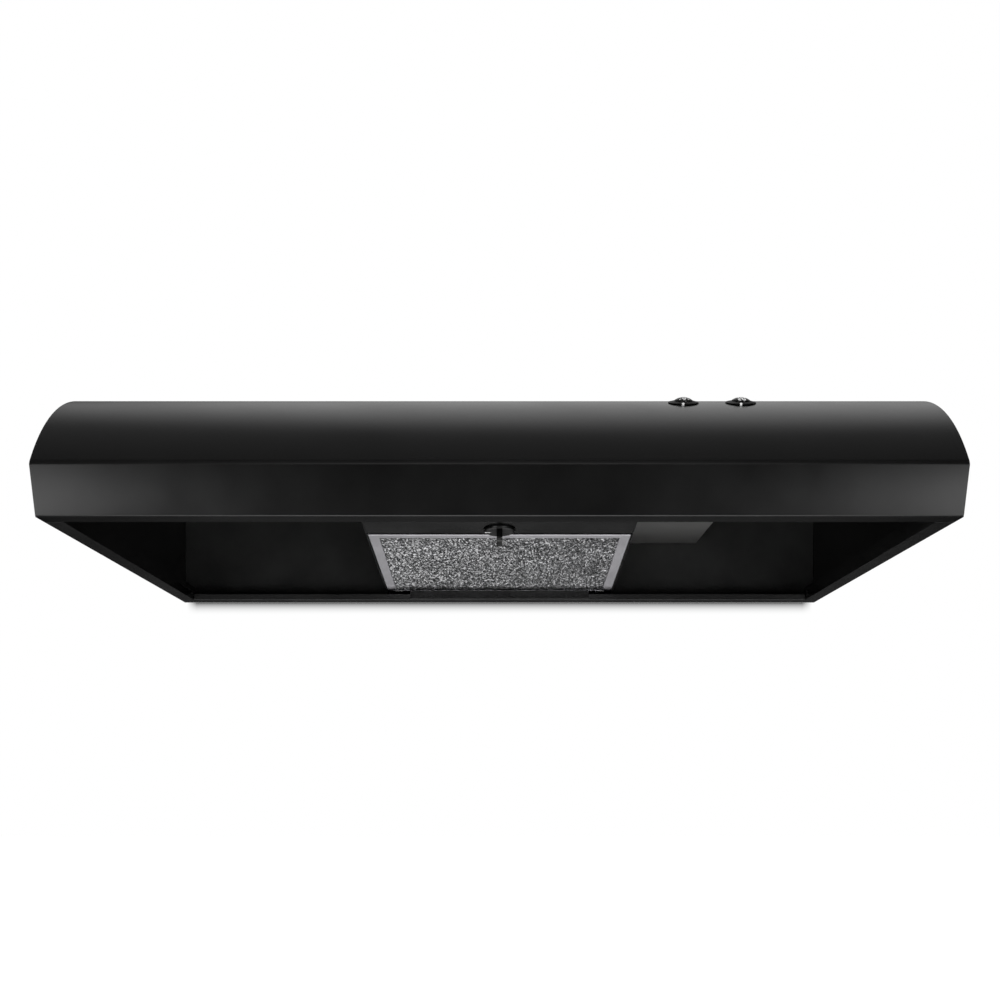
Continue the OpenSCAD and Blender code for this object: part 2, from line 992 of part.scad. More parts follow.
// Screw base of the bulb, with its rolled thread and centre contact
module bulb_base() {
  y = lamp_front_y + 17.2;
  color(bright)
    translate([bulb_x, y, bulb_z])
      rotate([-90, 0, 0])
        rotate_extrude()
          polygon(concat(
            [[0, 0], [4, 0], [6, 1.5], [base_r - 2, 4]],
            [for (i = [0 : 5]) each [[base_r, 5 + i * 3.2], [base_r - 1.2, 6.6 + i * 3.2]]],
            [[base_r - 0.4, 26], [0, 26]]
          ));
}

module bulb_glass() {
  y = lamp_front_y + 43.2;
  ball = 34;
  neck_r = base_r - 0.4;
  color("white")
    translate([bulb_x, y, bulb_z])
      rotate([-90, 0, 0]) {
        cylinder(r1 = neck_r, r2 = bulb_r * cos(24), h = ball - bulb_r * sin(24));
        translate([0, 0, ball])
          difference() {
            sphere(r = bulb_r);
            translate([0, 0, -bulb_r - bulb_r * sin(24)])
              cylinder(r = bulb_r + 1, h = bulb_r);
          }
      }
}

// Shallow tray that closes the lamp housing, swinging on two journals along its left edge
module lamp_lens() {
  x0 = lens_pivot_x;
  x1 = lamp_x1 - case_t - 0.6;
  y0 = lamp_front_y + case_t + 0.6;
  y1 = lamp_back_y - case_t - 0.6;
  rim = 8;
  low = lens_pivot_z - lens_t / 2;
  color(white) {
    block([x0, y0, low], [x1, y1, low + lens_t]);
    block([x1 - lens_t, y0, low], [x1, y1, low + rim]);
    block([x0 + 4, y0, low], [x1, y0 + lens_t, low + rim]);
    block([x0 + 4, y1 - lens_t, low], [x1, y1, low + rim]);
    translate([x0, y0, lens_pivot_z])
      rotate([-90, 0, 0])
        cylinder(r = 2.2, h = y1 - y0);
    translate([x0, lamp_front_y, lens_pivot_z])
      rotate([-90, 0, 0])
        cylinder(r = lens_pin_r, h = lamp_back_y - lamp_front_y);
  }
}

// Leaf spring on the housing's right wall that presses on the inside of the lens's rim
module lens_catch() {
  x = lamp_x1 - case_t;
  leaf_x = x - 0.6 - lens_t - fit;
  y = (lamp_front_y + lamp_back_y) / 2;
  t = 0.5;
  color(bright) {
    block([x - t, y - 6, lamp_z + 9], [x, y + 6, lamp_z + 20]);
    block([leaf_x - t, y - 6, lamp_z + 9], [x, y + 6, lamp_z + 9 + t]);
    block([leaf_x - t, y - 6, lamp_z + 0.5], [leaf_x, y + 6, lamp_z + 9 + t]);
  }
}

// ---- Wiring compartment and controls ----

module at_wiring_corners() {
  at_corners(
    lamp_x0 + wiring_screw_inset,
    lamp_x1 - wiring_screw_inset,
    wiring_front_y + wiring_screw_inset,
    wiring_back_y - wiring_screw_inset
  )
    children();
}

// Open-bottomed box under the hood's front, its top edges cut to the curve
module wiring_box() {
  color(black)
    difference() {
      union() {
        difference() {
          across(lamp_x0, lamp_x1)
            intersection() {
              hood_outline(sheet, 0, wiring_z);
              translate([wiring_front_y, wiring_z])
                square([wiring_back_y - wiring_front_y, -wiring_z]);
            }
          block(
            [lamp_x0 + case_t, wiring_front_y + case_t, wiring_z - 1],
            [lamp_x1 - case_t, wiring_back_y - case_t, 1]
          );
        }
        at_wiring_corners()
          translate([-wiring_screw_inset, -wiring_screw_inset, wiring_z])
            cube([2 * wiring_screw_inset, 2 * wiring_screw_inset, tab_t]);
      }
      at_wiring_corners()
        translate([0, 0, wiring_z - 1])
          cylinder(r = screw_clear_r, h = 4);
      translate([lamp_x0 - 1, cable_y, cable_z])
        rotate([0, 90, 0])
          cylinder(r = grommet_r, h = 4);
      translate([lamp_cable_x, wiring_back_y - 2, lamp_cable_z])
        rotate([-90, 0, 0])
          cylinder(r = grommet_r, h = 4);
      translate([lamp_x1 - 2, ground_y, ground_z])
        rotate([0, 90, 0])
          cylinder(r = 2.1, h = 4);
    }
}

module wiring_cover() {
  color(black)
    difference() {
      block([lamp_x0, wiring_front_y, wiring_z - sheet], [lamp_x1, wiring_back_y, wiring_z]);
      at_wiring_corners()
        translate([0, 0, wiring_z - 3])
          cylinder(r = screw_clear_r, h = 4);
    }
}

module wiring_cover_screws() {
  color(steel)
    at_wiring_corners()
      translate([0, 0, wiring_z - sheet])
        screw(1.7, 8);
}

// Green ground screw in the wiring box's right wall
module ground_screw() {
  color("#3f7a46")
    translate([lamp_x1 - case_t, ground_y, ground_z])
      rotate([0, 90, 0])
        screw(2, 5, 4, 2.4);
}

// Rotary switch: a body, two rows of tabs below it and a bushing through the hood
module rotary_switch(tabs) {
  size = switch_size;
  top = -sheet - 0.6;
  difference() {
    union() {
      translate([-size[0] / 2, -size[1] / 2, top - size[2]])
        cube([size[0], size[1], size[2]]);
      translate([0, 0, top - 0.5])
        cylinder(r = bushing_r, h = 3.2 - top);
    }
    translate([0, 0, top - 12])
      cylinder(r = knob_shaft_r + run, h = 20);
  }
  for (i = [0 : tabs - 1])
    translate([-size[0] / 2 + 4 + i * (size[0] - 8) / (tabs - 1) - 0.4, -3, top - size[2] - 7])
      cube([0.8, 6, 7.5]);
}

module light_switch() {
  color("#2b2b30")
    at_knob(light_knob_x)
      rotary_switch(2);
}

module fan_switch() {
  color("#2b2b30")
    at_knob(fan_knob_x)
      rotary_switch(4);
}

// Round nuts on the switch bushings, hidden in the bezels
module switch_nuts() {
  color(steel)
    at_knobs()
      translate([0, 0, 0.2])
        ring(6.4, bushing_r, 1.6);
}

// Thin bevelled ring round a knob and its switch nut, resting on the top of the curve
module bezel() {
  bore = knob_r + 0.3;
  rotate_extrude()
    polygon([
      [bore, 0],
      [bezel_r - 0.3, 0],
      [bezel_r, 0.3],
      [bezel_r - 0.5, 0.9],
      [knob_r + 1.2, 1.9],
      [bore, 1.9]
    ]);
}

module knob_bezels() {
  color(black)
    at_knobs()
      bezel();
}

// Domed knob on a shaft that turns in the switch's bushing
module knob() {
  low = 2;
  crown = 5;
  rim = 2.6;
  rise = crown - rim;
  dome_r = (pow(knob_r, 2) + pow(rise, 2)) / (2 * rise);
  difference() {
    union() {
      translate([0, 0, low])
        cylinder(r = knob_r, h = rim - low);
      intersection() {
        translate([0, 0, crown - dome_r])
          sphere(r = dome_r);
        translate([0, 0, rim - 0.1])
          cylinder(r = knob_r, h = rise + 1);
      }
    }
    translate([0, 0, low - 1])
      cylinder(r = bushing_r + 0.4, h = 2.4);
  }
  translate([0, 0, -11])
    cylinder(r = knob_shaft_r, h = 15.5);
}

module light_knob() {
  color(black)
    at_knob(light_knob_x)
      knob();
}

module fan_knob() {
  color(black)
    at_knob(fan_knob_x)
      knob();
}

// Motor capacitor, a can lying on the wiring cover with two blade terminals on its end
module capacitor() {
  blade = [0.8, 6, 8];
  color("#c9cbd0")
    translate([capacitor_x, capacitor_y - 30, capacitor_z])
      rotate([-90, 0, 0]) {
        cylinder(r = capacitor_r, h = capacitor_l);
        for (x = [-6, 6])
          translate([x - blade[0] / 2, -blade[1] / 2, capacitor_l])
            cube(blade);
      }
}

// Strap that holds the capacitor down on the wiring cover
module capacitor_strap() {
  outer_r = capacitor_r + 0.8;
  inner_r = capacitor_r + 0.02;
  drop = capacitor_z - wiring_z;
  color(steel)
    translate([capacitor_x, capacitor_y - 6, 0])
      rotate([-90, 0, 0])
        linear_extrude(12)
          difference() {
            union() {
              translate([0, -capacitor_z])
                circle(r = outer_r);
              translate([-outer_r, -capacitor_z])
                square([2 * outer_r, drop]);
            }
            translate([0, -capacitor_z])
              circle(r = inner_r);
            translate([-inner_r, -capacitor_z])
              square([2 * inner_r, drop + 1]);
          }
}

// Rubber rings that line the cable holes
module wire_grommets() {
  color(rubber) {
    translate([box_in_x, cable_y, cable_z])
      rotate([0, 90, 0])
        ring(grommet_r, cable_r, lamp_x0 + case_t - box_in_x);
    translate([lamp_cable_x, wiring_back_y - case_t, lamp_cable_z])
      rotate([-90, 0, 0])
        ring(grommet_r, cable_r, lamp_front_y + case_t - wiring_back_y + case_t);
  }
}

module lamp_leads() {
  color("#d8d8d4")
    cable([
      [lamp_cable_x, -262, lamp_cable_z],
      [lamp_cable_x, lamp_front_y + 3, lamp_cable_z],
      [lamp_cable_x, lamp_front_y + 3, lamp_cable_z - 20],
      [bulb_x + 8, lamp_front_y + 3, lamp_cable_z - 20],
      [bulb_x + 8, lamp_front_y + 3, bulb_z - 8]
    ], 1.2);
}

module motor_leads() {
  color("#3a3a3e")
    cable([[150, cable_y, cable_z], [8, blower_y - 37.4, cable_z]], 0.8);
}

function connector_x(lead) = 184 + 8 * lead;

// Leads from the fan switch's tabs to the three connectors
module switch_leads() {
  color("#3a3a3e")
    for (lead = [0 : 2])
      cable([
        [fan_knob_x - 10 + 6.7 * lead, -405, -45],
        [connector_x(lead), connector_y - 0.5, connector_z]
      ], 1.1);
}

module wire_connectors() {
  color("#d8b13c")
    for (lead = [0 : 2])
      translate([connector_x(lead), connector_y, connector_z])
        rotate([-100, 0, 0])
          cylinder(r1 = 2.6, r2 = 3.6, h = 16);
}

// ---- Assembly ----

canopy_top();
canopy_front();
side_panel_left();
side_panel_right();
rear_panel();
blower_box();
latch_strip();
filter_ledge();
filter_springs();
strip_screws();
filter_frame();
filter_mesh();
filter_latch();
latch_washer();
latch_push_nut();
orifice_plate();
orifice_screws();
scroll_housing();
chamber_walls();
motor_bracket();
motor_grommets();
motor_body();
motor_bolts();
motor_shaft();
wheel_hub();
wheel_dish();
blower_wheel();
wheel_nut();
duct_connector();
connector_screws();
duct_seal();
damper_flap();
damper_rod();
damper_rod_caps();
lamp_housing();
lamp_reflector();
socket_bracket();
bracket_screws();
lamp_socket();
bulb_base();
bulb_glass();
lamp_lens();
lens_catch();
wiring_box();
wiring_cover();
wiring_cover_screws();
ground_screw();
light_switch();
fan_switch();
switch_nuts();
knob_bezels();
light_knob();
fan_knob();
capacitor();
capacitor_strap();
wire_grommets();
lamp_leads();
motor_leads();
switch_leads();
wire_connectors();
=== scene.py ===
"""Looks of the under cabinet range hood: pieces are drawn in millimetres and placed in metres."""
import json
import math

import bmesh
import bpy
from mathutils import Matrix, Vector, noise


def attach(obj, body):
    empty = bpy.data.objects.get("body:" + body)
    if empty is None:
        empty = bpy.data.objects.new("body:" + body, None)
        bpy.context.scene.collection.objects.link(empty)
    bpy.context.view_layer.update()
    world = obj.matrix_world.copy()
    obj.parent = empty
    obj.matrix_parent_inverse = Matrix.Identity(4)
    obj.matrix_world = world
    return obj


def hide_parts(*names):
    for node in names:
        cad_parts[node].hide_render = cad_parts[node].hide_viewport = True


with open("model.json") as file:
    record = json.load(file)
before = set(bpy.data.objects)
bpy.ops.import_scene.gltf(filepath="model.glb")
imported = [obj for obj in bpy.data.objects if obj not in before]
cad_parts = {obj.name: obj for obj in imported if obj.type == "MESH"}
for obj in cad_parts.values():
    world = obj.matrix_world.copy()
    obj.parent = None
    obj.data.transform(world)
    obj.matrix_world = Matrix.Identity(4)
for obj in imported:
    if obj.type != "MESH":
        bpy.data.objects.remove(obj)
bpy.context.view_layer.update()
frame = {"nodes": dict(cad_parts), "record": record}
nodes = frame["nodes"]

MM = 0.001
CORNER_SIGNS = ((-1, -1), (1, -1), (1, 1), (-1, 1))
CAMERA_PLACE = (0.0, -1.51906, -0.350)
CAMERA_LENS = 45.24
SHIFT_X = 0.0005
SHIFT_Y = 0.2821
FLOOR_Z = -0.95
FLOOR_HALF = 12.0
WELD_DISTANCE = 0.000005
CAD_EDGE_ANGLE = 28.0
SHEET_EDGE_ANGLE = 50.0


# ---------------------------------------------------------------- node helpers

def new_material(name):
    """An empty node material with its output node."""
    material = bpy.data.materials.new(name)
    material.use_nodes = True
    material.node_tree.nodes.clear()
    output = material.node_tree.nodes.new("ShaderNodeOutputMaterial")
    return material, material.node_tree, output


def add(tree, kind, **settings):
    """A node of this kind: settings name its properties, or its inputs when they match an input's name."""
    node = tree.nodes.new(kind)
    for key, value in settings.items():
        if key in node.inputs:
            node.inputs[key].default_value = value
        else:
            setattr(node, key, value)
    return node


def shader(tree, output, color, roughness, metallic=0.0, **inputs):
    """A Principled shader on the output, with constants set on its own sockets."""
    node = tree.nodes.new("ShaderNodeBsdfPrincipled")
    node.inputs["Base Color"].default_value = (*color, 1.0)
    node.inputs["Roughness"].default_value = roughness
    node.inputs["Metallic"].default_value = metallic
    for name, value in inputs.items():
        node.inputs[name].default_value = value
    tree.links.new(node.outputs["BSDF"], output.inputs["Surface"])
    return node


def position(tree, scale=(1.0, 1.0, 1.0)):
    """Object coordinates in metres, scaled per axis."""
    coordinates = tree.nodes.new("ShaderNodeTexCoord")
    mapping = tree.nodes.new("ShaderNodeMapping")
    mapping.inputs["Scale"].default_value = scale
    tree.links.new(coordinates.outputs["Object"], mapping.inputs["Vector"])
    return mapping.outputs["Vector"]


def noise_of(tree, vector, scale, detail=3.0, roughness=0.5):
    """Noise at this scale per metre."""
    node = add(tree, "ShaderNodeTexNoise", Scale=scale, Detail=detail, Roughness=roughness)
    tree.links.new(vector, node.inputs["Vector"])
    return node.outputs["Fac"]


def remap(tree, value, low, high, to_low, to_high):
    """value from low..high to to_low..to_high, clamped."""
    node = tree.nodes.new("ShaderNodeMapRange")
    node.inputs["From Min"].default_value = low
    node.inputs["From Max"].default_value = high
    node.inputs["To Min"].default_value = to_low
    node.inputs["To Max"].default_value = to_high
    tree.links.new(value, node.inputs["Value"])
    return node.outputs["Result"]


def ramp(tree, value, stops):
    """A colour ramp through (place, colour) stops."""
    node = tree.nodes.new("ShaderNodeValToRGB")
    elements = node.color_ramp.elements
    while len(elements) < len(stops):
        elements.new(0.5)
    for element, (place, color) in zip(elements, stops):
        element.position = place
        element.color = (*color, 1.0)
    tree.links.new(value, node.inputs["Fac"])
    return node.outputs["Color"]


def compute(tree, operation, *values):
    """A math node on values that are each a socket or a number."""
    node = add(tree, "ShaderNodeMath", operation=operation)
    for socket, value in zip(node.inputs, values):
        if isinstance(value, float):
            socket.default_value = value
        else:
            tree.links.new(value, socket)
    return node.outputs["Value"]


def bump(tree, surface, height, distance, strength):
    """Bumps a shader by height times distance in metres."""
    node = add(tree, "ShaderNodeBump", Strength=strength, Distance=distance)
    tree.links.new(height, node.inputs["Height"])
    tree.links.new(node.outputs["Normal"], surface.inputs["Normal"])


def grey(value):
    """A neutral colour."""
    return (value, value, value)


# ---------------------------------------------------------------- materials

def enamel_material(name, albedo):
    """Gloss black enamel: faint orange peel, and a haze of handling that changes the gloss."""
    material, tree, output = new_material(name)
    surface = shader(tree, output, grey(albedo), 0.2)
    place = position(tree)
    haze = noise_of(tree, place, 9.0, 4.0, 0.6)
    tree.links.new(remap(tree, haze, 0.3, 0.7, 0.17, 0.26), surface.inputs["Roughness"])
    tint = noise_of(tree, place, 26.0, 3.0)
    stops = [(0.35, grey(albedo * 0.88)), (0.7, grey(albedo * 1.08))]
    tree.links.new(ramp(tree, tint, stops), surface.inputs["Base Color"])
    peel = noise_of(tree, place, 420.0, 2.0, 0.4)
    bump(tree, surface, peel, 0.00002, 0.5)
    return material


def moulded_material(name, color, roughness, peel=0.00003, specular=0.5, glow=0.0):
    """Moulded plastic or paint with a fine eggshell surface and uneven gloss; glow is emission, painted
    light that makes ink brighter than the lamps make it.
    """
    material, tree, output = new_material(name)
    inputs = {"Specular IOR Level": specular, "Emission Strength": glow}
    surface = shader(tree, output, color, roughness, **inputs)
    place = position(tree)
    sheen = noise_of(tree, place, 60.0, 3.0)
    gloss = remap(tree, sheen, 0.3, 0.7, roughness * 0.8, roughness * 1.25)
    tree.links.new(gloss, surface.inputs["Roughness"])
    dark = tuple(c * 0.86 for c in color)
    light = tuple(min(1.0, c * 1.12) for c in color)
    cloud = noise_of(tree, place, 130.0, 4.0)
    tree.links.new(ramp(tree, cloud, [(0.3, dark), (0.7, light)]), surface.inputs["Base Color"])
    grain = noise_of(tree, place, 2600.0, 2.0)
    bump(tree, surface, grain, peel, 0.4)
    return material


def metal_material(name, color, roughness, brush, brush_scale, depth=0.00001, stain=0.12):
    """Bare metal with brushing stretched along one axis and slow tarnish."""
    material, tree, output = new_material(name)
    surface = shader(tree, output, color, roughness, 1.0)
    place = position(tree, brush)
    lines = noise_of(tree, place, brush_scale, 3.0, 0.6)
    slow = noise_of(tree, position(tree), 22.0, 4.0, 0.6)
    dark = tuple(c * (1.0 - stain) for c in color)
    light = tuple(min(1.0, c * (1.0 + stain * 0.6)) for c in color)
    tree.links.new(ramp(tree, slow, [(0.3, dark), (0.7, light)]), surface.inputs["Base Color"])
    gloss = remap(tree, lines, 0.25, 0.75, roughness * 0.75, roughness * 1.3)
    tree.links.new(gloss, surface.inputs["Roughness"])
    bump(tree, surface, lines, depth, 0.5)
    return material


def galvanised_material():
    """Zinc coated sheet steel with its crystal spangle."""
    material, tree, output = new_material("galvanised_steel")
    surface = shader(tree, output, grey(0.45), 0.38, 1.0)
    place = position(tree)
    cells = add(tree, "ShaderNodeTexVoronoi", Scale=150.0)
    tree.links.new(place, cells.inputs["Vector"])
    split = tree.nodes.new("ShaderNodeSeparateColor")
    tree.links.new(cells.outputs["Color"], split.inputs["Color"])
    stops = [(0.0, (0.34, 0.35, 0.37)), (1.0, (0.52, 0.53, 0.55))]
    tree.links.new(ramp(tree, split.outputs["Red"], stops), surface.inputs["Base Color"])
    tree.links.new(remap(tree, split.outputs["Green"], 0.0, 1.0, 0.3, 0.48), surface.inputs["Roughness"])
    bump(tree, surface, noise_of(tree, place, 700.0), 0.00001, 0.4)
    return material


def opal_material():
    """Opal plastic lens, unlit, with a fine prismatic stipple; its dark grey is partly light lost through it
    into the dark housing and partly painted shade.
    """
    material, tree, output = new_material("opal_lens")
    # Dark grey base for white opal plastic: partly painted shade, partly the light lost into the housing
    # behind it.
    surface = shader(tree, output, (0.15, 0.15, 0.148), 0.32)
    place = position(tree)
    cloud = noise_of(tree, place, 35.0, 3.0)
    stops = [(0.3, (0.142, 0.142, 0.140)), (0.7, (0.158, 0.158, 0.156))]
    tree.links.new(ramp(tree, cloud, stops), surface.inputs["Base Color"])
    stipple = add(tree, "ShaderNodeTexVoronoi", Scale=420.0)
    tree.links.new(place, stipple.inputs["Vector"])
    bump(tree, surface, stipple.outputs["Distance"], 0.00025, 0.4)
    return material


def frosted_glass_material():
    """Bulb glass, frosted on the inside."""
    material, tree, output = new_material("bulb_frosted_glass")
    surface = shader(tree, output, (0.9, 0.9, 0.88), 0.3, **{"Transmission Weight": 0.35, "IOR": 1.45})
    cloud = noise_of(tree, position(tree), 90.0, 3.0)
    stops = [(0.3, (0.86, 0.86, 0.84)), (0.7, (0.93, 0.93, 0.92))]
    tree.links.new(ramp(tree, cloud, stops), surface.inputs["Base Color"])
    bump(tree, surface, noise_of(tree, position(tree), 900.0), 0.00001, 0.3)
    return material


def floor_material():
    """Plain pale studio floor, which glows so that it is as white as the backdrop."""
    material, tree, output = new_material("studio_floor")
    surface = shader(tree, output, grey(0.85), 0.9, **{"Specular IOR Level": 0.1})
    speck = noise_of(tree, position(tree), 3.0, 2.0)
    tree.links.new(ramp(tree, speck, [(0.0, grey(0.84)), (1.0, grey(0.86))]), surface.inputs["Base Color"])
    surface.inputs["Emission Color"].default_value = (1.0, 1.0, 1.0, 1.0)
    surface.inputs["Emission Strength"].default_value = 1.0
    return material


enamel = enamel_material("gloss_black_enamel", 0.019)
# The same black enamel made lighter for the sheets inside the hood: painted light.
inner_enamel_painted_light = enamel_material("inner_black_enamel_painted_light", 0.045)
galvanised = galvanised_material()
bright_steel = metal_material("bright_steel", grey(0.62), 0.25, (1.0, 1.0, 8.0), 1500.0)
zinc = metal_material("zinc_plate", (0.55, 0.55, 0.56), 0.32, (1.0, 1.0, 1.0), 2200.0)
rim_aluminium = metal_material("rim_aluminium", (0.66, 0.65, 0.68), 0.36, (0.15, 6.0, 6.0), 700.0)
sheet_aluminium = metal_material("sheet_aluminium", (0.7, 0.7, 0.71), 0.3, (0.3, 5.0, 5.0), 600.0)
foil = metal_material("expanded_foil", (0.70, 0.70, 0.71), 0.3, (1.0, 1.0, 1.0), 900.0, 0.00002, 0.2)
motor_paint = moulded_material("motor_paint", (0.17, 0.17, 0.18), 0.45)
black_plastic = moulded_material("black_plastic", grey(0.011), 0.22)
switch_plastic = moulded_material("switch_plastic", (0.03, 0.03, 0.033), 0.5)
black_rubber = moulded_material("black_rubber", (0.02, 0.02, 0.021), 0.7, 0.00006)
ceramic = moulded_material("white_ceramic", (0.78, 0.77, 0.74), 0.15, 0.00001)
green_paint = moulded_material("green_paint", (0.03, 0.2, 0.06), 0.35)
insulation = moulded_material("lead_insulation", (0.05, 0.05, 0.055), 0.45)
yellow_plastic = moulded_material("yellow_plastic", (0.62, 0.4, 0.05), 0.4)
# White print ink that also glows a little: painted light on the symbols, pips and latch line.
white_ink_painted_glow = moulded_material("white_ink_painted_glow", grey(0.86), 0.5, 0.00001, glow=0.45)
bezel_plastic = moulded_material("bezel_plastic", grey(0.008), 0.42, specular=0.18)
latch_plastic = moulded_material("latch_plastic", grey(0.010), 0.3, specular=0.3)
opal = opal_material()
frosted = frosted_glass_material()

SLOT_MATERIALS = {
    "shell_enamel": enamel,
    "galvanised_steel": galvanised,
    "spring_steel": bright_steel,
    "plated_steel": zinc,
    "filter_rim": rim_aluminium,
    "filter_weave": foil,
    "latch_plastic": latch_plastic,
    "knob_plastic": black_plastic,
    "bezel_plastic": bezel_plastic,
    "switch_plastic": switch_plastic,
    "rubber": black_rubber,
    "motor_steel": motor_paint,
    "damper_aluminium": sheet_aluminium,
    "reflector_aluminium": sheet_aluminium,
    "socket_ceramic": ceramic,
    "bulb_cap": bright_steel,
    "bulb_frosted_glass": frosted,
    "lens_opal": opal,
    "ground_green": green_paint,
    "lead_insulation": insulation,
    "connector_plastic": yellow_plastic,
}


# Sheets that show inside the hood, whose enamel is a little lighter: painted light for the inside, on the
# same black enamel as outside
INNER_SHEETS = [
    "rear_panel", "side_panel_left", "side_panel_right", "blower_box", "lamp_housing", "wiring_box",
    "wiring_cover",
]


def dress_cad_nodes():
    """Gives every CAD node the material of its slot in the record, and the inner sheets a lighter copy of
    the enamel as painted light.
    """
    for part in frame["record"]["subparts"]:
        mesh = nodes[part["node"]].data
        mesh.materials.clear()
        mesh.materials.append(SLOT_MATERIALS[part["material_slot"]])
    for name in INNER_SHEETS:
        nodes[name].data.materials[0] = inner_enamel_painted_light


dress_cad_nodes()


# ---------------------------------------------------------------- mesh helpers

def new_object(name, mesh, body, material):
    """A piece in the row frame that rides on a body, with the material it is given."""
    mesh.materials.append(material)
    piece = bpy.data.objects.new(name, mesh)
    bpy.context.scene.collection.objects.link(piece)
    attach(piece, body)
    return piece


def local_place(origin, tilt):
    """Places local millimetres at origin, turned about X by tilt degrees, in the row frame in metres."""
    turn = Matrix.Rotation(math.radians(tilt), 4, "X")
    return Matrix.Translation(Vector(origin) * MM) @ turn @ Matrix.Scale(MM, 4)


def add_bevel(piece, width, segments, angle):
    """Rounds the edges of a piece that turn by more than an angle in degrees."""
    edge = piece.modifiers.new("edge_round", "BEVEL")
    edge.width = width
    edge.segments = segments
    edge.limit_method = "ANGLE"
    edge.angle_limit = math.radians(angle)
    edge.harden_normals = True


def round_edges(names, width, segments=2):
    """Rounds the sharp edges of CAD nodes with modifiers; the CAD meshes stay as they are."""
    for name in names:
        weld = nodes[name].modifiers.new("weld", "WELD")
        weld.merge_threshold = WELD_DISTANCE
        add_bevel(nodes[name], width, segments, CAD_EDGE_ANGLE)


# ---------------------------------------------------------------- front sheet

HOOD_HALF = 380.0
SHEET = 1.0
ARC_RADIUS = 203.2
ARC_Y = -334.28
ARC_STEPS = 72
SEAM_Y = -330.0
LIP = (-505.0, -93.0)
BAND_FOOT = (-491.5, -133.0)
FLANGE_BACK = -468.5
HEM_TOP = -127.0
CREASE_RADIUS = 1.6
FOOT_RADIUS = 1.8
HEM_RADIUS = 1.2


def fillet(before, corner, after, radius, steps=5):
    """Points of an arc that rounds a corner between two neighbouring points."""
    corner = Vector(corner)
    to_before = (Vector(before) - corner).normalized()
    to_after = (Vector(after) - corner).normalized()
    half = to_before.angle(to_after) / 2
    reach = radius / math.tan(half)
    middle = corner + (to_before + to_after).normalized() * (radius / math.sin(half))
    first = corner + to_before * reach - middle
    last = corner + to_after * reach - middle
    return [middle + first.slerp(last, i / steps) for i in range(steps + 1)]


def front_profile():
    """Outer line of the front sheet, from the seam over the curve to the top of the hem, as (Y, Z)."""
    lip_angle = math.atan2(LIP[1] + ARC_RADIUS, LIP[0] - ARC_Y)
    top_angle = math.pi / 2
    curve = []
    for i in range(ARC_STEPS + 1):
        angle = top_angle + (lip_angle - top_angle) * i / ARC_STEPS
        y = ARC_Y + ARC_RADIUS * math.cos(angle)
        z = -ARC_RADIUS + ARC_RADIUS * math.sin(angle)
        curve.append(Vector((y, z)))
    flange_corner = (FLANGE_BACK, BAND_FOOT[1])
    line = [Vector((SEAM_Y, 0.0))] + curve[:-1]
    line += fillet(curve[-2], LIP, BAND_FOOT, CREASE_RADIUS)
    line += fillet(LIP, BAND_FOOT, flange_corner, FOOT_RADIUS)
    line += fillet(BAND_FOOT, flange_corner, (FLANGE_BACK, HEM_TOP), HEM_RADIUS)
    line.append(Vector((FLANGE_BACK, HEM_TOP)))
    return line


def inward(line, thickness):
    """The line moved to the sheet's inner face."""
    moved = []
    for i, point in enumerate(line):
        ahead = line[min(i + 1, len(line) - 1)]
        behind = line[max(i - 1, 0)]
        along = (ahead - behind).normalized()
        moved.append(point + Vector((-along.y, along.x)) * thickness)
    return moved


def build_front_sheet():
    """The curved front, band, flange and hem as one sheet with soft bends, in place of the CAD sheet.

    It has no holes for the knobs' shafts. The bezels cover those places.
    """
    outer = front_profile()
    inner = inward(outer, SHEET)
    mesh = bpy.data.meshes.new("front_sheet")
    shape = bmesh.new()
    columns = []
    for x in (-HOOD_HALF, HOOD_HALF):
        columns.append([[shape.verts.new(Vector((x, *p)) * MM) for p in line] for line in (outer, inner)])
    count = len(outer)
    for line in (0, 1):
        left, right = columns[0][line], columns[1][line]
        for i in range(count - 1):
            corners = [left[i], left[i + 1], right[i + 1], right[i]]
            shape.faces.new(corners if line == 0 else corners[::-1]).smooth = True
    for side in (0, 1):
        out, into = columns[side]
        for i in range(count - 1):
            corners = [out[i], into[i], into[i + 1], out[i + 1]]
            shape.faces.new(corners if side == 0 else corners[::-1])
    for i in (0, count - 1):
        corners = [columns[0][0][i], columns[1][0][i], columns[1][1][i], columns[0][1][i]]
        shape.faces.new(corners if i == 0 else corners[::-1])
    bmesh.ops.recalc_face_normals(shape, faces=shape.faces)
    shape.to_mesh(mesh)
    shape.free()
    piece = new_object("front_sheet", mesh, "hood", enamel)
    add_bevel(piece, 0.0002, 2, SHEET_EDGE_ANGLE)
    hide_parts("canopy_front")


build_front_sheet()
round_edges(["canopy_top", "side_panel_left", "side_panel_right", "rear_panel"], 0.0003)
round_edges(["filter_frame"], 0.0009, 3)
round_edges(["latch_strip", "filter_ledge", "filter_springs"], 0.0004)
round_edges(["blower_box", "lamp_housing", "wiring_box", "wiring_cover"], 0.0002)
round_edges(["filter_latch"], 0.0005, 3)
round_edges(["lamp_lens"], 0.0005)


# ---------------------------------------------------------------- grease filter

FILTER_PLACE = local_place((0.0, -21.0, -122.4), -5.33)
FILTER_HALF = 132.9
FILTER_FRONT = -231.5
FILTER_BACK = 8.5
FILTER_SKIN = 0.9
# Height, seed and share of a cell that each layer is shifted by
MESH_LAYERS = [(1.4, 3, 0.0), (2.4, 7, 0.5), (3.6, 11, 0.25), (5.2, 19, 0.75)]
CELL_X = 3.0
CELL_Y = 5.2
STRAND_WIDTH = 0.85
STRAND_THICKNESS = 0.16
STRAND_SIDES = ((0, 1, 5, 4), (1, 2, 6, 5), (2, 3, 7, 6), (3, 0, 4, 7))
SHORTEST_STRAND = 0.3
MESH_INSET = 1.5
CRINKLE = 0.6


